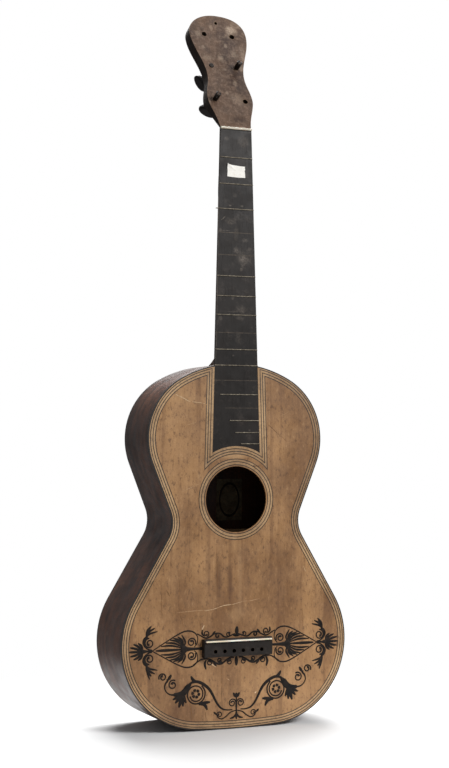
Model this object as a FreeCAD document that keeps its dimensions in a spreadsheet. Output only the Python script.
import FreeCAD, Part

import math
import os

from FreeCAD import Placement, Rotation, Vector

# A small six-string guitar of the early nineteenth century, standing on its tail.
# +X is the treble side, -Y is the way the soundboard faces, +Z runs up the neck.
# Every drawing below is made with the soundboard's face at y = 0 and the tail at z = 0;
# the placement of each piece then moves the face to y = face_y, which centres the depth.

doc = FreeCAD.newDocument("six_string_guitar")
sheet = doc.addObject("Spreadsheet::Sheet", "Sizes")
cells = []


def put(name, value, note):
    """Write one size in the sheet: its name, its value with that alias, and what it is."""
    row = len(cells) + 1
    sheet.set(f"A{row}", name)
    sheet.set(f"B{row}", str(value))
    sheet.set(f"C{row}", note)
    sheet.setAlias(f"B{row}", name)
    cells.append(name)


def size(name):
    """Read one size back from the sheet."""
    return float(sheet.get(name))


# ------------------------------------------------------------------ driving sizes
# Millimetres, and degrees where the note says so.

put("scale_length", 630, "vibrating string, nut to its theoretical end")
put("saddle_setback", 6.5, "extra string length at the saddle")
put("neck_length", 293.9, "nut to the top of the body")

put("lower_width", 301.7, "lower bout")
put("waist_width", 170.8, "waist")
put("upper_width", 234, "upper bout")
put("tail_radius", 800, "bottom curve of the plan")
put("lower_radius", 103.8, "lower bout curve")
put("waist_radius", 38, "waist curve")
put("upper_radius", 85, "upper bout curve")
put("shoulder_radius", 151, "top curve of the plan")
put("waist_rise", 149.9, "widest lower bout up to the waist")
put("upper_rise", 103, "waist up to the widest upper bout")
put("tail_depth", 97, "body depth over top and back, at the tail")
put("neck_end_depth", 83, "body depth at the neck end")

put("top_thick", 2.5, "soundboard, and the fingerboard let into it")
put("back_thick", 2.6, "back")
put("rib_thick", 2.2, "ribs")
put("binding_wide", 1.5, "edge binding, seen from the front")
put("binding_deep", 3.5, "edge binding, seen from the side")
put("inlay_deep", 1, "inlaid lines")
put("line_pitch", 3.2, "from one dark line to the next")
put("line_wide", 1.05, "one dark line of the edging")
put("lining_wide", 4.5, "linings")
put("lining_high", 12, "linings")
put("neck_block_wide", 70, "block under the neck end")
put("neck_block_long", 28, "block under the neck end")
put("tail_block_wide", 64, "block at the tail")
put("tail_block_long", 22, "block at the tail")
put("tail_strip_wide", 12, "strip over the rib joint")
put("tail_strip_thick", 1, "strip over the rib joint")
put("brace_thick", 7, "soundboard and back bars, along the neck")
put("top_brace_high", 14, "soundboard bars")
put("back_brace_high", 16, "back bars")
put("brace_end_high", 4, "bars at their tapered ends")
put("brace_taper", 32, "length of each tapered end")
put("brace_gap", 0.2, "bar end to lining")
put("strip_wide", 16, "strip inside the back joint")
put("strip_thick", 2, "strip inside the back joint")
put("patch_thick", 2, "patches under the soundboard")
put("patch_gap", 0.5, "patches to the bars beside them")
put("tongue_patch_wide", 100, "patch under the fingerboard tongue")

put("top_bar_1_rise", 71, "bar under the tongue, above the soundhole's edge")
put("top_bar_2_rise", 12, "bar above the soundhole, from its edge")
put("top_bar_3_drop", 10, "bar below the soundhole, from its edge")
put("top_bar_4_drop", 75, "bar above the bridge, from the soundhole's edge")
put("top_bar_5_drop", 42, "bar below the bridge, from the pin holes")
put("back_bar_1_rise", 52, "upper back bar, above the soundhole's edge")
put("back_bar_2_drop", 4, "middle back bar, below the soundhole's edge")
put("back_bar_3_rise", 18, "lower back bar, above the pin holes")

put("hole_drop", 169, "soundhole centre below the top of the body")
put("hole_radius", 41, "soundhole")
put("rosette_first", 42.9, "middle of the inner dark ring")
put("rosette_second", 46.7, "middle of the middle dark ring")
put("rosette_third", 50, "middle of the outer dark ring")
put("rosette_line", 1, "width of a dark ring")

put("nut_width", 42, "fingerboard and neck at the nut")
put("board_end_width", 63.8, "fingerboard at its last fret")
put("board_end_radius", 66, "hollow end of the fingerboard, about the soundhole's centre")
put("nut_thick", 3, "nut, along the strings")
put("nut_proud", 1.6, "nut above the fingerboard")
put("fret_wide", 1.3, "fret crowns, along the strings")
put("fret_proud", 0.9, "fret crowns above the fingerboard")
put("tang_wide", 0.6, "fret tangs and their slots, along the strings")
put("tang_deep", 1.5, "fret tangs and their slots")
put("fret_overhang", 3.5, "bass end of the loose third fret, past the fingerboard")
put("bass_end_13", -22, "bass end of fret 13 across the board")
put("bass_end_14", -15, "bass end of fret 14 across the board")
put("bass_end_15", -9, "bass end of fret 15 across the board")
put("bass_end_16", -1.5, "bass end of fret 16 across the board")
put("bass_end_17", 6, "bass end of fret 17 across the board")

put("neck_deep_nut", 17.5, "neck under the fingerboard, at the nut")
put("neck_deep_heel", 18.5, "neck under the fingerboard, at the body")
put("heel_start_rise", 38, "where the heel leaves the neck, above the body")
put("heel_top_width", 45, "heel where it leaves the neck's rounded back")
put("heel_upper_clear", 5, "second heel slice, behind the neck's rounded back")
put("heel_upper_rise", 24, "second heel slice, above the body")
put("heel_upper_width", 33.6, "second heel slice")
put("heel_waist_share", 0.54, "heel halfway to the back, as a ratio of the depth")
put("heel_waist_rise", 15, "heel halfway to the back, above the body")
put("heel_waist_width", 22, "heel halfway to the back")
put("heel_lower_share", 0.74, "heel three quarters of the way back, as a ratio of the depth")
put("heel_lower_rise", 8.5, "heel three quarters of the way back, above the body")
put("heel_lower_width", 14.8, "heel three quarters of the way back")
put("heel_flank", 0.6, "straight flank of a heel slice, as a ratio of its rise")
put("heel_foot_rise", 1.2, "heel at the back, above the body")
put("heel_foot_width", 7, "heel at the back")
put("heel_root", 12, "neck and heel drawn past the body's end before they are trimmed to it")

put("head_tilt", 23.7, "degrees, head leaning back from the neck")
put("head_length", 178, "head face")
put("head_thick", 17, "head")
put("head_edge_round", 2, "rounding of the head's rear edge")
put("head_root_long", 33, "length over which the neck's round back becomes the head's square one")
put("head_root_growth", 1.8, "how much wider that rounding is at its upper end, as a ratio")
put("low_lobe_at", 46, "widest lower part of the head, from the nut")
put("low_lobe_width", 62, "lower lobes of the head")
put("head_waist_at", 82, "narrow part of the head, from the nut")
put("head_waist_width", 50.6, "narrow part of the head")
put("high_lobe_at", 147, "widest upper part of the head, from the nut")
put("high_lobe_width", 79.4, "upper lobes of the head")
put("root_pull", 18, "how straight the head's side leaves the nut")
put("low_lobe_pull", 12, "how straight the side arrives at the low lobe")
put("waist_pull", 0.4, "fullness of the curve from the low lobe to the waist, as a ratio")
put("high_lobe_pull", 0.35, "fullness of the curve from the waist to the high lobe, as a ratio")
put("crown_pull_bass", 0.55, "fullness of the crown on the bass side, as a ratio")
put("crown_pull_treble", 0.66, "fullness of the crown on the treble side, as a ratio")
put("peg_hole_radius", 3.5, "peg holes")
put("low_pegs_at", 45, "lower pair of pegs, from the nut")
put("low_pegs_apart", 41.2, "lower pair of pegs")
put("middle_pegs_at", 97, "middle pair of pegs")
put("middle_pegs_apart", 35, "middle pair of pegs")
put("high_pegs_at", 146.5, "upper pair of pegs")
put("high_pegs_apart", 38.8, "upper pair of pegs")
put("hanging_hole_at", 166, "hole for a hanging cord, from the nut")
put("hanging_hole_radius", 2.25, "hole for a hanging cord")

put("low_bass_turn", 26, "degrees, how the low bass peg's thumb piece is turned")
put("middle_bass_turn", 62, "degrees, the middle bass peg's thumb piece")
put("middle_treble_turn", 40, "degrees, the middle treble peg's thumb piece")
put("peg_clearance", 0.05, "peg shank in its hole, all round")
put("peg_tip_long", 12, "shank in front of the head, on the long pegs")
put("peg_tip_short", 1, "shank in front of the head, on the trimmed peg")
put("peg_tip_round", 0.6, "chamfer at the shank's tip")
put("peg_slit_wide", 1.2, "string slit in the tip")
put("peg_slit_deep", 6, "string slit in the tip")
put("collar_gap", 0.4, "collar to the back of the head")
put("collar_radius", 5.4, "collar")
put("collar_thick", 2.4, "collar")
put("stem_radius", 3.2, "stem between collar and thumb piece")
put("peg_reach", 39, "peg, from its tip to the middle of its thumb piece")
put("thumb_wide", 25, "thumb piece")
put("thumb_long", 16.5, "thumb piece")
put("thumb_thick", 7.5, "thumb piece")
put("thumb_round", 3, "edges of the thumb piece")

put("bridge_width", 92, "bridge, across the strings")
put("bridge_long", 22, "bridge, along the strings")
put("bridge_high", 8, "bridge")
put("bridge_round", 1.2, "edges of the bridge")
put("saddle_width", 88, "saddle")
put("saddle_thick", 1.8, "saddle")
put("saddle_deep", 4.5, "saddle, in its slot")
put("saddle_proud", 2.8, "saddle above the bridge")
put("saddle_edge", 2.5, "bridge edge to the middle of the saddle")
put("pin_hole_radius", 2.5, "bridge pin holes")
put("pin_pitch", 12.4, "bridge pin holes")
put("pin_setback", 12.4, "saddle to the row of pin holes")
put("bridge_patch_wide", 112, "patch under the bridge")
put("bridge_patch_long", 34, "patch under the bridge")

put("tag_wide", 24.5, "blank paper tag on the fingerboard")
put("tag_long", 16.5, "blank paper tag")
put("tag_thick", 0.3, "blank paper tag")

doc.recompute()

# --------------------------------------------------------------- the plan's curves
# The half plan is five arcs and two straight flanks, each tangent to the next.
# Points and centres are (across, up) pairs; an inset moves every curve inwards.

X_AXIS = Vector(1, 0, 0)
Y_AXIS = Vector(0, 1, 0)
FAR = 400.0


def flat(across, up):
    return Vector(across, up, 0)


def towards(start, angle, distance):
    """The point at a distance from start, at an angle from +X."""
    return start + flat(math.cos(angle), math.sin(angle)) * distance


def heading(start, end):
    return math.atan2(end.y - start.y, end.x - start.x)


tail_centre = flat(0, size("tail_radius"))
lower_across = size("lower_width") / 2 - size("lower_radius")
lower_drop = math.sqrt((size("tail_radius") - size("lower_radius")) ** 2 - lower_across ** 2)
lower_centre = flat(lower_across, size("tail_radius") - lower_drop)
waist_centre = flat(size("waist_width") / 2 + size("waist_radius"),
                    lower_centre.y + size("waist_rise"))
upper_across = size("upper_width") / 2 - size("upper_radius")
upper_centre = flat(upper_across, waist_centre.y + size("upper_rise"))
upper_lift = math.sqrt((size("shoulder_radius") - size("upper_radius")) ** 2 - upper_across ** 2)
shoulder_centre = flat(0, upper_centre.y - upper_lift)
body_length = shoulder_centre.y + size("shoulder_radius")


def flank_angle(bout, bout_radius, turn):
    """Outward direction of the straight flank between a bout and the waist."""
    spread = (bout_radius + size("waist_radius")) / (waist_centre - bout).Length
    return heading(bout, waist_centre) + turn * math.acos(spread)


tail_angle = heading(tail_centre, lower_centre)
low_flank = flank_angle(lower_centre, size("lower_radius"), -1)
high_flank = flank_angle(upper_centre, size("upper_radius"), 1)
shoulder_angle = heading(shoulder_centre, upper_centre)

# centre, radius, first angle, last angle, and -1 where the curve is hollow
PLAN_ARCS = [
    (tail_centre, size("tail_radius"), -math.pi / 2, tail_angle, 1),
    (lower_centre, size("lower_radius"), tail_angle, low_flank, 1),
    (waist_centre, size("waist_radius"), low_flank + math.pi, high_flank + math.pi, -1),
    (upper_centre, size("upper_radius"), high_flank, shoulder_angle, 1),
    (shoulder_centre, size("shoulder_radius"), shoulder_angle, math.pi / 2, 1),
]


def mirrored(point, side):
    return flat(point.x * side, point.y)


def plan_curves(inset, side):
    """Curves of one side of the plan, from the tail's middle to the neck's middle."""
    curves = []
    last = None
    for centre, radius, first, final, swell in PLAN_ARCS:
        inner = radius - swell * inset
        points = [mirrored(towards(centre, angle, inner), side)
                  for angle in (first, (first + final) / 2, final)]
        if last and (points[0] - last).Length > 0.001:
            curves.append(Part.LineSegment(last, points[0]))
        curves.append(Part.Arc(*points))
        last = points[-1]
    return curves


def plan_half_width(up, inset):
    """Half the plan's width at a height, measured on an inset plan."""
    curves = plan_curves(inset, 1)
    outline = Part.Wire([curve.toShape() for curve in curves])
    ray = Part.makeLine(flat(0.01, up), flat(FAR, up))
    return outline.distToShape(ray)[1][0][0].x


def closed_half(inset, side):
    """Curves round one half of the plan, closed down the centre line."""
    curves = plan_curves(inset, side)
    return curves + [Part.LineSegment(flat(0, body_length - inset), flat(0, inset))]


def polygon(points):
    """Straight curves round a list of points."""
    ends = points[1:] + points[:1]
    return [Part.LineSegment(start, end) for start, end in zip(points, ends)]


def rectangle(left, low, right, high):
    return polygon([flat(left, low), flat(right, low), flat(right, high), flat(left, high)])


def circle(centre, radius):
    return [Part.Circle(centre, Vector(0, 0, 1), radius)]


# --------------------------------------------------------------- worked-out places

put("body_length", body_length, "worked out: tail to the top of the body")
put("nut_height", body_length + size("neck_length"), "worked out: nut above the tail")
put("hole_height", body_length - size("hole_drop"), "worked out: soundhole above the tail")
put("saddle_height", body_length + size("neck_length") - size("scale_length")
    - size("saddle_setback"), "worked out: saddle above the tail")
put("face_y", (size("bridge_high") + size("saddle_proud") - size("tail_depth")) / 2,
    "worked out: soundboard face, so that the depth is centred on the origin")
doc.recompute()

hole_centre = flat(0, size("hole_height"))
back_slope = (size("neck_end_depth") - size("tail_depth")) / body_length
LAST_FRET = 17


def fret_drop(number):
    """Distance from the nut to a fret, in equal temperament."""
    return size("scale_length") * (1 - 2 ** (-number / 12))


board_slope = (size("board_end_width") - size("nut_width")) / 2 / fret_drop(LAST_FRET)


def board_half(up):
    """Half the fingerboard's width at a height."""
    return size("nut_width") / 2 + board_slope * (size("nut_height") - up)


def board_curves(grow, top):
    """The fingerboard's outline grown sideways and at its hollow end, up to a height."""
    radius = size("board_end_radius") - grow
    wide = board_half(size("hole_height")) + grow
    stretch = 1 + board_slope ** 2
    root = (wide * board_slope) ** 2 - stretch * (wide ** 2 - radius ** 2)
    rise = (wide * board_slope + math.sqrt(root)) / stretch
    corner = flat(wide - board_slope * rise, size("hole_height") + rise)
    crest = flat(board_half(top) + grow, top)
    hollow = Part.Arc(mirrored(corner, -1), hole_centre + flat(0, radius), corner)
    return [hollow, Part.LineSegment(corner, crest),
            Part.LineSegment(crest, mirrored(crest, -1)),
            Part.LineSegment(mirrored(crest, -1), mirrored(corner, -1))]


# --------------------------------------------------------------- making solids

finished = []


def finish(item, label):
    """Name a finished sub-part; its label is its file's name."""
    item.Label = label
    finished.append(item)
    return item


def upright(shape):
    """Stand a flat drawing up: its y becomes z, and its depth runs towards +Y."""
    shape.rotate(Vector(0, 0, 0), X_AXIS, 90)
    return shape


def prism(curves, front, rear):
    """A solid with a drawn outline between two depths."""
    face = Part.Face(Part.Wire([curve.toShape() for curve in curves]))
    solid = upright(face.extrude(Vector(0, 0, front - rear)))
    solid.translate(Vector(0, front, 0))
    return solid


def whole_plan(inset, front, rear):
    """The whole plan as a solid, made of its two halves."""
    halves = [prism(closed_half(inset, side), front, rear) for side in (-1, 1)]
    return halves[0].fuse(halves[1]).removeSplitter()


def back_depth(up):
    """Depth of the back's outer face at a height."""
    return size("tail_depth") + back_slope * up


def back_layer(deep_side, outer_side):
    """A slab that follows the sloping back, between two distances inside its face."""
    points = [Vector(-FAR, back_depth(up) - inside, up) for up, inside in
              ((-FAR, deep_side), (2 * FAR, deep_side), (2 * FAR, outer_side), (-FAR, outer_side))]
    face = Part.Face(Part.makePolygon(points + points[:1]))
    return face.extrude(Vector(2 * FAR, 0, 0))


def before_back(inside):
    """Everything in front of a plane that lies inside the back by a distance."""
    return back_layer(2 * FAR, inside)


def block_zone(half_wide, low, high):
    """A box through the whole depth, for trimming."""
    box = Part.makeBox(2 * half_wide, 2 * FAR, high - low)
    box.translate(Vector(-half_wide, -FAR, low))
    return box


def shaped(label, shape):
    """A sub-part whose shape follows the plan, so it is made by Part's own functions."""
    item = doc.addObject("Part::Feature", label)
    item.Shape = shape
    item.Placement = Placement(Vector(0, size("face_y"), 0), Rotation())
    return finish(item, label)


def new_body(name):
    body = doc.addObject("PartDesign::Body", name)
    body.setExpression("Placement.Base.y", "Sizes.face_y")
    return body


def origin_plane(body, role):
    return next(item for item in body.Origin.OriginFeatures if item.Role == role)


def draw(body, name, role, curves, depth=None):
    """A sketch on one of the body's own planes, moved along the plane's normal."""
    sketch = body.newObject("Sketcher::SketchObject", name)
    sketch.AttachmentSupport = [(origin_plane(body, role), "")]
    sketch.MapMode = "FlatFace"
    for curve in curves:
        sketch.addGeometry(curve, False)
    if depth:
        sketch.setExpression("AttachmentOffset.Base.z", depth)
    return sketch


def pad(body, sketch, length, backwards=False, middle=False, other_length=None):
    feature = body.newObject("PartDesign::Pad", sketch.Name + "_pad")
    feature.Profile = sketch
    feature.Reversed = backwards
    if middle:
        feature.SideType = "Symmetric"
    if other_length:
        feature.SideType = "Two sides"
        feature.setExpression("Length2", other_length)
    feature.setExpression("Length", length)
    doc.recompute()
    return feature


def pocket(body, sketch, length=None, backwards=False, middle=False):
    """Cut a drawing into the body and make sure that it removed something."""
    before = body.Shape.Volume
    feature = body.newObject("PartDesign::Pocket", sketch.Name + "_cut")
    feature.Profile = sketch
    feature.Reversed = backwards
    if middle:
        feature.SideType = "Symmetric"
    if length:
        feature.setExpression("Length", length)
    else:
        feature.Type = "ThroughAll"
    doc.recompute()
    if body.Shape.Volume > before - 0.01:
        raise RuntimeError(f"{sketch.Name} cuts nothing")
    return feature


def round_edges(body, name, radius, wanted):
    """Fillet the edges of the body's last feature for which wanted(edge) is true."""
    base = body.Tip
    names = [f"Edge{number}" for number, edge in enumerate(base.Shape.Edges, 1) if wanted(edge)]
    feature = body.newObject("PartDesign::Fillet", name)
    feature.Base = (base, names)
    feature.setExpression("Radius", radius)
    doc.recompute()
    return feature


# --------------------------------------------------------------- soundboard and inlays

top_thick = size("top_thick")
hidden_top = body_length + 20


def inner_field(plan_inset, board_grow, front, rear):
    """The soundboard inside an edge inset, less the fingerboard grown by a distance."""
    field = whole_plan(plan_inset, front, rear)
    return field.cut(prism(board_curves(board_grow, hidden_top), front, rear))


def band(outer, inner):
    """An inlaid band that follows the soundboard's edge and goes round the fingerboard."""
    deep = size("inlay_deep")
    return inner_field(*outer, 0, deep).cut(inner_field(*inner, 0, deep))


def ring(inner, outer):
    """An inlaid ring round the soundhole."""
    disc = prism(circle(hole_centre, outer), 0, size("inlay_deep"))
    return disc.cut(prism(circle(hole_centre, inner), 0, size("inlay_deep")))


half_line = size("line_wide") / 2
dark_offsets = [size("line_pitch") * number for number in (1, 2, 3)]
dark_bands = []
light_bands = []
reached = (size("binding_wide"), 0)
for offset in dark_offsets:
    near = offset - half_line
    far = offset + half_line
    light_bands.append(band(reached, (near, near)))
    dark_bands.append(band((near, near), (far, far)))
    reached = (far, far)
edging_end = reached[0]

half_ring = size("rosette_line") / 2
ring_middles = [size("rosette_first"), size("rosette_second"), size("rosette_third")]
dark_rings = [ring(middle - half_ring, middle + half_ring) for middle in ring_middles]
light_rings = [ring(low + half_ring, high - half_ring)
               for low, high in zip(ring_middles, ring_middles[1:])]

shaped("edging_dark", Part.makeCompound(dark_bands))
shaped("edging_light", Part.makeCompound(light_bands))
shaped("rosette_dark", Part.makeCompound(dark_rings))
shaped("rosette_light", Part.makeCompound(light_rings))

channels = doc.addObject("Part::Feature", "inlay_channels")
channels.Shape = Part.makeCompound([
    band((size("binding_wide"), 0), (edging_end, edging_end)),
    ring(ring_middles[0] - half_ring, ring_middles[-1] + half_ring),
])
channels.Placement = Placement(Vector(0, size("face_y"), 0), Rotation())

pin_row = size("saddle_height") - size("pin_setback")


def pin_circles(numbers):
    """Circles for some of the six bridge pins, numbered from the bass side."""
    circles = []
    for number in numbers:
        across = (number - 3.5) * size("pin_pitch")
        circles += circle(flat(across, pin_row), size("pin_hole_radius"))
    return circles


def make_soundboard_half(label, side, pins):
    """One bookmatched half, with its share of the openings and inlay channels."""
    blank = new_body(label + "_blank")
    outline = draw(blank, label + "_plan", "XZ_Plane", closed_half(size("binding_wide"), side))
    pad(blank, outline, "Sizes.top_thick", backwards=True)
    hole = draw(blank, label + "_hole", "XZ_Plane", circle(hole_centre, size("hole_radius")))
    pocket(blank, hole, middle=True)
    notch = draw(blank, label + "_notch", "XZ_Plane", board_curves(0, hidden_top))
    pocket(blank, notch, middle=True)
    pin_holes = draw(blank, label + "_pin_holes", "XZ_Plane", pin_circles(pins))
    pocket(blank, pin_holes, middle=True)
    cut = doc.addObject("Part::Cut", label)
    cut.Base = blank
    cut.Tool = channels
    doc.recompute()
    return finish(cut, label)


make_soundboard_half("soundboard_bass", -1, (1, 2, 3))
make_soundboard_half("soundboard_treble", 1, (4, 5, 6))

# --------------------------------------------------------------- ribs, back and edges

binding_wide = size("binding_wide")
binding_deep = size("binding_deep")
rib_thick = size("rib_thick")
back_thick = size("back_thick")
full_depth = size("tail_depth") + size("neck_end_depth")


def half_ring_wall(outer, inner, side, front):
    """A wall that follows one side of the plan, open-ended towards the back."""
    wall = prism(closed_half(outer, side), front, full_depth)
    return wall.cut(prism(closed_half(inner, side), front, full_depth))


strip_zone = block_zone(size("tail_strip_wide") / 2, -1, size("tail_block_long"))
tail_strip = whole_plan(0, binding_deep, full_depth)
tail_strip = tail_strip.cut(whole_plan(size("tail_strip_thick"), binding_deep, full_depth))
tail_strip = tail_strip.common(strip_zone).common(before_back(binding_deep))
shaped("tail_strip", tail_strip)

for label, side in (("rib_bass", -1), ("rib_treble", 1)):
    inner_leaf = half_ring_wall(binding_wide, rib_thick, side, top_thick)
    outer_leaf = half_ring_wall(0, binding_wide, side, binding_deep)
    rib = inner_leaf.common(before_back(back_thick))
    rib = rib.fuse(outer_leaf.common(before_back(binding_deep))).removeSplitter()
    shaped(label, rib.cut(tail_strip))

for label, side in (("back_bass", -1), ("back_treble", 1)):
    plate = prism(closed_half(binding_wide, side), 0, full_depth)
    shaped(label, plate.common(back_layer(back_thick, 0)))

front_edge = whole_plan(0, 0, binding_deep).cut(whole_plan(binding_wide, 0, binding_deep))
front_edge = front_edge.cut(prism(board_curves(0, hidden_top), 0, binding_deep))
shaped("front_binding", front_edge)
rear_edge = whole_plan(0, 0, full_depth).cut(whole_plan(binding_wide, 0, full_depth))
shaped("back_binding", rear_edge.common(back_layer(binding_deep, 0)))

# --------------------------------------------------------------- blocks and linings

neck_block_foot = body_length - rib_thick - size("neck_block_long")
tail_block_head = rib_thick + size("tail_block_long")
inside = whole_plan(rib_thick, top_thick, full_depth).common(before_back(back_thick))
neck_zone = block_zone(size("neck_block_wide") / 2, neck_block_foot, body_length)
tail_zone = block_zone(size("tail_block_wide") / 2, 0, tail_block_head)
shaped("neck_block", inside.common(neck_zone))
shaped("tail_block", inside.common(tail_zone))

lining_inset = rib_thick + size("lining_wide")
front_lining = (top_thick, top_thick + size("lining_high"))
for side_name, side in (("bass", -1), ("treble", 1)):
    front = half_ring_wall(rib_thick, lining_inset, side, top_thick)
    front = front.cut(neck_zone).cut(tail_zone)
    reach = whole_plan(0, *front_lining)
    shaped("front_lining_" + side_name, front.common(reach))
    rear = back_layer(back_thick + size("lining_high"), back_thick)
    shaped("back_lining_" + side_name, front.common(rear))

# --------------------------------------------------------------- bars and patches


def bar_profile(half, foot, tip, crown):
    """A bar's shape across the guitar: full in the middle, tapered at both ends."""
    shoulder = half - size("brace_taper")
    return polygon([Vector(-half, foot, 0), Vector(half, foot, 0), Vector(half, tip, 0),
                    Vector(shoulder, crown, 0), Vector(-shoulder, crown, 0),
                    Vector(-half, tip, 0)])


def bar_half_span(middle):
    """Half the length that a bar has between the linings."""
    edge = size("brace_thick") / 2
    room = min(plan_half_width(middle + step, lining_inset) for step in (-edge, 0, edge))
    return room - size("brace_gap")


hole_top = size("hole_height") + size("hole_radius")
hole_foot = size("hole_height") - size("hole_radius")
put("top_bar_1", hole_top + size("top_bar_1_rise"), "worked out: bar under the tongue")
put("top_bar_2", hole_top + size("top_bar_2_rise"), "worked out: bar above the soundhole")
put("top_bar_3", hole_foot - size("top_bar_3_drop"), "worked out: bar below the soundhole")
put("top_bar_4", hole_foot - size("top_bar_4_drop"), "worked out: bar above the bridge")
put("top_bar_5", pin_row - size("top_bar_5_drop"), "worked out: bar below the bridge")
put("back_bar_1", hole_top + size("back_bar_1_rise"), "worked out: upper back bar")
put("back_bar_2", hole_foot - size("back_bar_2_drop"), "worked out: middle back bar")
put("back_bar_3", pin_row + size("back_bar_3_rise"), "worked out: lower back bar")
doc.recompute()

top_bars = [f"top_bar_{number}" for number in range(1, 6)]
back_bars = [f"back_bar_{number}" for number in range(1, 4)]

for label in top_bars:
    body = new_body(label)
    profile = bar_profile(bar_half_span(size(label)), top_thick,
                          top_thick + size("brace_end_high"),
                          top_thick + size("top_brace_high"))
    sketch = draw(body, label + "_profile", "XY_Plane", profile, depth=f"Sizes.{label}")
    pad(body, sketch, "Sizes.brace_thick", middle=True)
    finish(body, label)

back_face = doc.addObject("Part::Feature", "inside_of_back")
back_face.Shape = back_layer(FAR, back_thick)
back_face.Placement = Placement(Vector(0, size("face_y"), 0), Rotation())
for label in back_bars:
    body = new_body(label + "_blank")
    foot = back_depth(size(label))
    profile = bar_profile(bar_half_span(size(label)), foot,
                          foot - back_thick - size("brace_end_high"),
                          foot - back_thick - size("back_brace_high"))
    sketch = draw(body, label + "_profile", "XY_Plane", profile, depth=f"Sizes.{label}")
    pad(body, sketch, "Sizes.brace_thick", middle=True)
    fitted = doc.addObject("Part::Common", label)
    fitted.Base = body
    fitted.Tool = back_face
    doc.recompute()
    finish(fitted, label)


def bar_room(names):
    """Boxes round some bars, a gap wider, through the whole depth."""
    room = size("brace_thick") / 2 + size("patch_gap")
    boxes = [block_zone(FAR, size(name) - room, size(name) + room) for name in names]
    return Part.makeCompound(boxes)


back_strip = block_zone(size("strip_wide") / 2, tail_block_head, neck_block_foot)
back_strip = back_strip.common(back_layer(back_thick + size("strip_thick"), back_thick))
shaped("back_strip", back_strip.cut(bar_room(back_bars)))

patch_front = top_thick
patch_rear = top_thick + size("patch_thick")
tongue_half = size("tongue_patch_wide") / 2
tongue = prism(rectangle(-tongue_half, size("top_bar_2"), tongue_half, neck_block_foot),
               patch_front, patch_rear)
shaped("tongue_patch", tongue.cut(bar_room(top_bars)))

# --------------------------------------------------------------- bridge and saddle

bridge_top = size("saddle_height") + size("saddle_edge")
bridge_foot = bridge_top - size("bridge_long")
bridge_half = size("bridge_width") / 2

bridge = new_body("bridge")
block = draw(bridge, "bridge_outline", "XZ_Plane",
             rectangle(-bridge_half, bridge_foot, bridge_half, bridge_top))
pad(bridge, block, "Sizes.bridge_high")
round_edges(bridge, "bridge_edges", "Sizes.bridge_round",
            lambda edge: edge.CenterOfMass.y < -size("bridge_high") + 0.01)
slot = draw(bridge, "saddle_slot", "XZ_Plane",
            rectangle(-size("saddle_width") / 2, size("saddle_height") - size("saddle_thick") / 2,
                      size("saddle_width") / 2, size("saddle_height") + size("saddle_thick") / 2),
            depth="Sizes.bridge_high - Sizes.saddle_deep")
pocket(bridge, slot, backwards=True)
bridge_pins = draw(bridge, "bridge_pin_holes", "XZ_Plane", pin_circles(range(1, 7)))
pocket(bridge, bridge_pins, middle=True)
finish(bridge, "bridge")

saddle = new_body("saddle")
strip = draw(saddle, "saddle_outline", "XZ_Plane",
             rectangle(-size("saddle_width") / 2, size("saddle_height") - size("saddle_thick") / 2,
                       size("saddle_width") / 2, size("saddle_height") + size("saddle_thick") / 2),
             depth="Sizes.bridge_high - Sizes.saddle_deep")
pad(saddle, strip, "Sizes.saddle_deep + Sizes.saddle_proud")
round_edges(saddle, "saddle_crown", "Sizes.saddle_thick / 3",
            lambda edge: edge.CenterOfMass.y < -size("bridge_high") - size("saddle_proud") + 0.01
            and edge.Length > size("saddle_width") / 2)
finish(saddle, "saddle")

patch = new_body("bridge_patch")
patch_half = size("bridge_patch_wide") / 2
patch_middle = (bridge_top + bridge_foot) / 2
plate = draw(patch, "bridge_patch_outline", "XZ_Plane",
             rectangle(-patch_half, patch_middle - size("bridge_patch_long") / 2,
                       patch_half, patch_middle + size("bridge_patch_long") / 2),
             depth="-Sizes.top_thick")
pad(patch, plate, "Sizes.patch_thick", backwards=True)
patch_pins = draw(patch, "patch_pin_holes", "XZ_Plane", pin_circles(range(1, 7)))
pocket(patch, patch_pins, middle=True)
finish(patch, "bridge_patch")

# --------------------------------------------------------------- fingerboard and frets

nut_height = size("nut_height")
SHORT_FRETS = (13, 14, 15, 16, 17)
WORN_FRETS = (4, 5, 9, 12, 14)
ALL_FRETS = range(1, LAST_FRET + 1)


def bass_end(number):
    """Where a fret and its slot stop on the bass side, across the board."""
    if number in SHORT_FRETS:
        return size(f"bass_end_{number}")
    return -board_half(nut_height - fret_drop(number))


board = new_body("fingerboard")
outline = draw(board, "board_outline", "XZ_Plane", board_curves(0, nut_height))
pad(board, outline, "Sizes.top_thick", backwards=True)
half_tang = size("tang_wide") / 2
slots = []
for number in ALL_FRETS:
    middle = nut_height - fret_drop(number)
    open_end = 0 if number in SHORT_FRETS else 1
    slots += rectangle(bass_end(number) - open_end, middle - half_tang,
                       board_half(middle) + 1, middle + half_tang)
slot_drawing = draw(board, "fret_slots", "XZ_Plane", slots)
pocket(board, slot_drawing, "Sizes.tang_deep")
finish(board, "fingerboard")


def fret_section(worn):
    """A tang in its slot, under a half-round crown unless the crown is worn away."""
    tang_foot = flat(size("tang_deep"), half_tang)
    points = [flat(0, half_tang), tang_foot, flat(tang_foot.x, -half_tang), flat(0, -half_tang)]
    if worn:
        return polygon(points)
    half_crown = size("fret_wide") / 2
    low = flat(0, -half_crown)
    high = flat(0, half_crown)
    points = [high] + points + [low]
    sides = [Part.LineSegment(start, end) for start, end in zip(points, points[1:])]
    return sides + [Part.Arc(low, flat(-size("fret_proud"), 0), high)]


def drop_formula(number):
    return f"Sizes.scale_length * (1 - 2^(-{number} / 12))"


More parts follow.
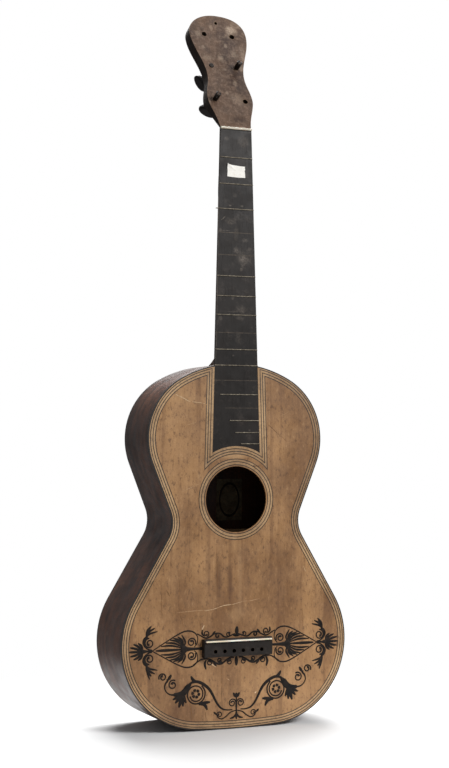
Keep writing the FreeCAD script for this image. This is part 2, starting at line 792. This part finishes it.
for number in ALL_FRETS:
    label = f"fret_{number:02d}"
    half = (f"Sizes.nut_width / 2 + (Sizes.board_end_width - Sizes.nut_width) / 2"
            f" * ({drop_formula(number)}) / ({drop_formula(LAST_FRET)})")
    start = f"-({half})"
    if number in SHORT_FRETS:
        start = f"Sizes.bass_end_{number}"
    if number == 3:
        start = f"-({half}) - Sizes.fret_overhang"
    body = new_body(label)
    body.setExpression("Placement.Base.z", f"Sizes.nut_height - {drop_formula(number)}")
    section = draw(body, label + "_section", "YZ_Plane", fret_section(number in WORN_FRETS),
                   depth=start)
    pad(body, section, f"{half} - ({start})")
    finish(body, label)

nut = new_body("nut")
nut.setExpression("Placement.Base.z", "Sizes.nut_height")
bar = draw(nut, "nut_outline", "XZ_Plane",
           rectangle(-size("nut_width") / 2, 0, size("nut_width") / 2, size("nut_thick")),
           depth="-Sizes.top_thick")
pad(nut, bar, "Sizes.top_thick + Sizes.nut_proud")
round_edges(nut, "nut_crown", "Sizes.nut_thick / 4",
            lambda edge: edge.CenterOfMass.y < -size("nut_proud") + 0.01
            and edge.Length > size("nut_width") / 2)
finish(nut, "nut")

tag = new_body("paper_tag")
tag_middle = nut_height - (fret_drop(1) + fret_drop(2)) / 2
sheet_of_paper = draw(tag, "tag_outline", "XZ_Plane",
                      rectangle(-size("tag_wide") / 2, tag_middle - size("tag_long") / 2,
                                size("tag_wide") / 2, tag_middle + size("tag_long") / 2))
pad(tag, sheet_of_paper, "Sizes.tag_thick")
finish(tag, "paper_tag")

# --------------------------------------------------------------- neck and heel

neck_top = nut_height + size("nut_thick")
heel_foot = body_length - size("heel_root")


def neck_section(half, deep):
    """The neck's rounded section under the flat of the fingerboard."""
    left = flat(-half, top_thick)
    right = flat(half, top_thick)
    return [Part.LineSegment(left, right),
            Part.Arc(right, flat(0, top_thick + deep), left)]


def heel_section(half, crown):
    """A level slice of the heel: square against the body, round at its far side."""
    low = heel_foot
    shoulder = body_length + crown * size("heel_flank")
    return [Part.LineSegment(flat(-half, low), flat(half, low)),
            Part.LineSegment(flat(half, low), flat(half, shoulder)),
            Part.Arc(flat(half, shoulder), flat(0, body_length + crown), flat(-half, shoulder)),
            Part.LineSegment(flat(-half, shoulder), flat(-half, low))]


def loft(body, name, sections, ruled):
    feature = body.newObject("PartDesign::AdditiveLoft", name)
    feature.Profile = sections[0]
    feature.Sections = sections[1:]
    feature.Ruled = ruled
    doc.recompute()
    return feature


neck = new_body("neck")
nut_end = draw(neck, "neck_at_nut", "XY_Plane",
               neck_section(board_half(neck_top), size("neck_deep_nut")),
               depth="Sizes.nut_height + Sizes.nut_thick")
body_end = draw(neck, "neck_at_body", "XY_Plane",
                neck_section(board_half(heel_foot), size("neck_deep_heel")),
                depth="Sizes.body_length - Sizes.heel_root")
loft(neck, "neck_shaft", [body_end, nut_end], True)

heel_slices = [
    ("Sizes.top_thick + 0.55 * Sizes.neck_deep_heel", "heel_top_width", "heel_start_rise"),
    ("Sizes.top_thick + Sizes.neck_deep_heel + Sizes.heel_upper_clear", "heel_upper_width",
     "heel_upper_rise"),
    ("Sizes.heel_waist_share * Sizes.neck_end_depth", "heel_waist_width", "heel_waist_rise"),
    ("Sizes.heel_lower_share * Sizes.neck_end_depth", "heel_lower_width", "heel_lower_rise"),
    ("Sizes.neck_end_depth + 1", "heel_foot_width", "heel_foot_rise"),
]
heel_sketches = [draw(neck, f"heel_slice_{number}", "XZ_Plane",
                      heel_section(size(width) / 2, size(rise)), depth=f"-({depth})")
                 for number, (depth, width, rise) in enumerate(heel_slices, 1)]
loft(neck, "heel", heel_sketches, False)

body_side = [
    Part.Arc(*[towards(shoulder_centre, math.radians(angle), size("shoulder_radius"))
               for angle in (55, 90, 125)]),
]
far_left = towards(shoulder_centre, math.radians(125), size("shoulder_radius"))
far_right = towards(shoulder_centre, math.radians(55), size("shoulder_radius"))
low_left = flat(far_left.x, heel_foot - 60)
low_right = flat(far_right.x, heel_foot - 60)
body_side += [Part.LineSegment(far_left, low_left), Part.LineSegment(low_left, low_right),
              Part.LineSegment(low_right, far_right)]
joint = draw(neck, "neck_joint", "XZ_Plane", body_side)
pocket(neck, joint, middle=True)
past_back = polygon([flat(back_depth(-FAR), -FAR), flat(FAR, -FAR), flat(FAR, 2 * FAR),
                     flat(back_depth(2 * FAR), 2 * FAR)])
heel_end = draw(neck, "heel_end", "YZ_Plane", past_back)
pocket(neck, heel_end, middle=True)
finish(neck, "neck")

# --------------------------------------------------------------- head

tilt = math.radians(size("head_tilt"))


def tilted(body):
    """Lean a body back from the nut by the head's tilt."""
    body.setExpression("Placement.Base.z", "Sizes.nut_height")
    body.Placement = Placement(body.Placement.Base, Rotation(X_AXIS, -size("head_tilt")))
    body.setExpression("Placement.Rotation.Angle", "-Sizes.head_tilt")
    return body


def bend(start, start_pull, end, end_pull):
    """A smooth curve between two points, each with a pull along its tangent."""
    curve = Part.BezierCurve()
    curve.setPoles([start, start + start_pull, end + end_pull, end])
    return curve.toBSpline()


def head_side(side):
    """One side of the head: flaring from the nut to two lobes and over the crown."""
    at_nut = flat(side * size("nut_width") / 2, 0)
    low_lobe = flat(side * size("low_lobe_width") / 2, size("low_lobe_at"))
    waist = flat(side * size("head_waist_width") / 2, size("head_waist_at"))
    high_lobe = flat(side * size("high_lobe_width") / 2, size("high_lobe_at"))
    crown = flat(0, size("head_length"))
    fullness = size("crown_pull_treble" if side > 0 else "crown_pull_bass")
    rise = (size("head_length") - size("high_lobe_at")) * fullness
    to_waist = (size("head_waist_at") - size("low_lobe_at")) * size("waist_pull")
    to_lobe = (size("high_lobe_at") - size("head_waist_at")) * size("high_lobe_pull")
    return [
        bend(at_nut, flat(0, size("root_pull")), low_lobe, flat(0, -size("low_lobe_pull"))),
        bend(low_lobe, flat(0, to_waist), waist, flat(0, -to_waist)),
        bend(waist, flat(0, to_lobe), high_lobe, flat(0, -to_lobe)),
        bend(high_lobe, flat(0, rise), crown, flat(high_lobe.x * fullness, 0)),
    ]


def peg_place(row, side):
    """Middle of a peg hole on the head's face."""
    return flat(side * size(row + "_pegs_apart") / 2, size(row + "_pegs_at"))


def root_section(up, growth):
    """The neck's rounded section, grown and moved back with the head's face."""
    back = up * math.tan(tilt)
    half = board_half(neck_top) * growth
    side = back + top_thick * growth
    rear = back + (top_thick + size("neck_deep_nut")) * growth
    level = neck_top + up
    corners = [Vector(across, deep, level) for across, deep in
               ((-half, side), (-half, back - 20), (half, back - 20), (half, side))]
    edges = [Part.makeLine(start, end) for start, end in zip(corners, corners[1:])]
    edges.append(Part.Arc(corners[-1], Vector(0, rear, level), corners[0]).toShape())
    return Part.Wire(edges)


head_body = tilted(new_body("head_body"))
face = head_side(1) + head_side(-1)
face.append(Part.LineSegment(flat(-size("nut_width") / 2, 0), flat(size("nut_width") / 2, 0)))
pad(head_body, draw(head_body, "head_outline", "XZ_Plane", face), "Sizes.head_thick", backwards=True)
round_edges(head_body, "head_rear_edge", "Sizes.head_edge_round",
            lambda edge: abs(edge.CenterOfMass.y - size("head_thick")) < 0.01
            and edge.CenterOfMass.z > 1)
start_low = size("nut_thick") - 20 * math.sin(tilt)
start_high = size("nut_thick") + 40 * math.sin(tilt)
seat = polygon([flat(-20, start_low / math.cos(tilt)), flat(40, start_high / math.cos(tilt)),
                flat(40, -60), flat(-20, -60)])
pocket(head_body, draw(head_body, "head_seat", "YZ_Plane", seat), middle=True)
holes = circle(flat(0, size("hanging_hole_at")), size("hanging_hole_radius"))
for row in ("low", "middle", "high"):
    for side in (-1, 1):
        holes += circle(peg_place(row, side), size("peg_hole_radius"))
pocket(head_body, draw(head_body, "head_holes", "XZ_Plane", holes), middle=True)

root_top = size("head_root_long")
growth = size("head_root_growth")
root = Part.makeLoft([root_section(0, 1), root_section(root_top, growth)], True, True)
above = block_zone(FAR, neck_top + root_top, neck_top + FAR)
head_room = doc.addObject("Part::Feature", "head_room")
head_room.Shape = root.fuse(above)
head_room.Placement = Placement(Vector(0, size("face_y"), 0), Rotation())
head = doc.addObject("Part::Common", "head")
head.Base = head_body
head.Tool = head_room
doc.recompute()
finish(head, "head")

# --------------------------------------------------------------- pegs


def peg_turning(tip):
    """Half profile of a peg, from its tip in front to the root of its thumb piece."""
    root = size("peg_reach") - tip
    shank = size("peg_hole_radius") - size("peg_clearance")
    round_off = size("peg_tip_round")
    collar_front = size("head_thick") + size("collar_gap")
    collar_rear = collar_front + size("collar_thick")
    return polygon([
        flat(0, -tip), flat(shank - round_off, -tip), flat(shank, -tip + round_off),
        flat(shank, collar_front), flat(size("collar_radius"), collar_front),
        flat(size("collar_radius"), collar_rear), flat(size("stem_radius"), collar_rear + 2),
        flat(size("stem_radius"), root), flat(0, root),
    ])


def make_peg(label, row, side, tip, turn):
    """A friction peg: a flat oval thumb piece on a turned shank, collar and stem."""
    body = doc.addObject("PartDesign::Body", label)
    root = size("peg_reach") - size(tip)
    oval = Part.Ellipse(flat(0, root), size("thumb_wide") / 2, size("thumb_long") / 2)
    thumb = draw(body, label + "_thumb", "XY_Plane", [oval])
    pad(body, thumb, "Sizes.thumb_thick", middle=True)
    round_edges(body, label + "_thumb_edges", "Sizes.thumb_round",
                lambda edge: abs(abs(edge.CenterOfMass.z) - size("thumb_thick") / 2) < 0.01)
    turning = draw(body, label + "_profile", "XY_Plane", peg_turning(size(tip)))
    spin = body.newObject("PartDesign::Revolution", label + "_turning")
    spin.Profile = turning
    spin.ReferenceAxis = (turning, ["V_Axis"])
    spin.Angle = 360
    doc.recompute()
    if size(tip) > size("peg_slit_deep"):
        slit_half = size("peg_slit_wide") / 2
        slit = rectangle(-slit_half, -size(tip) - 1,
                         slit_half, -size(tip) + size("peg_slit_deep"))
        pocket(body, draw(body, label + "_slit", "XY_Plane", slit), middle=True)
    middle = peg_place(row, side)
    base = Placement(Vector(0, size("face_y"), nut_height), Rotation(X_AXIS, -size("head_tilt")))
    on_face = Placement(Vector(middle.x, 0, middle.y), Rotation(Y_AXIS, size(turn)))
    body.Placement = base.multiply(on_face)
    return finish(body, label)


make_peg("peg_low_bass", "low", -1, "peg_tip_long", "low_bass_turn")
make_peg("peg_middle_bass", "middle", -1, "peg_tip_short", "middle_bass_turn")
make_peg("peg_middle_treble", "middle", 1, "peg_tip_long", "middle_treble_turn")

# --------------------------------------------------------------- checks and files

doc.recompute()
for item in doc.Objects:
    if "Invalid" in item.State or "Error" in item.State:
        raise RuntimeError(f"{item.Label} failed: {item.State}")
for item in finished:
    if item.Shape.isNull() or not item.Shape.isValid() or not item.Shape.Solids:
        raise RuntimeError(f"{item.Label} has no sound solid")

os.makedirs("parts", exist_ok=True)
for item in finished:
    item.Shape.exportStep(f"parts/{item.Label}.step")
    print(f"{item.Label}: {len(item.Shape.Solids)} solid(s), {item.Shape.Volume / 1000:.2f} cm3")
print(f"{len(finished)} sub-parts, body {body_length:.1f} mm long")
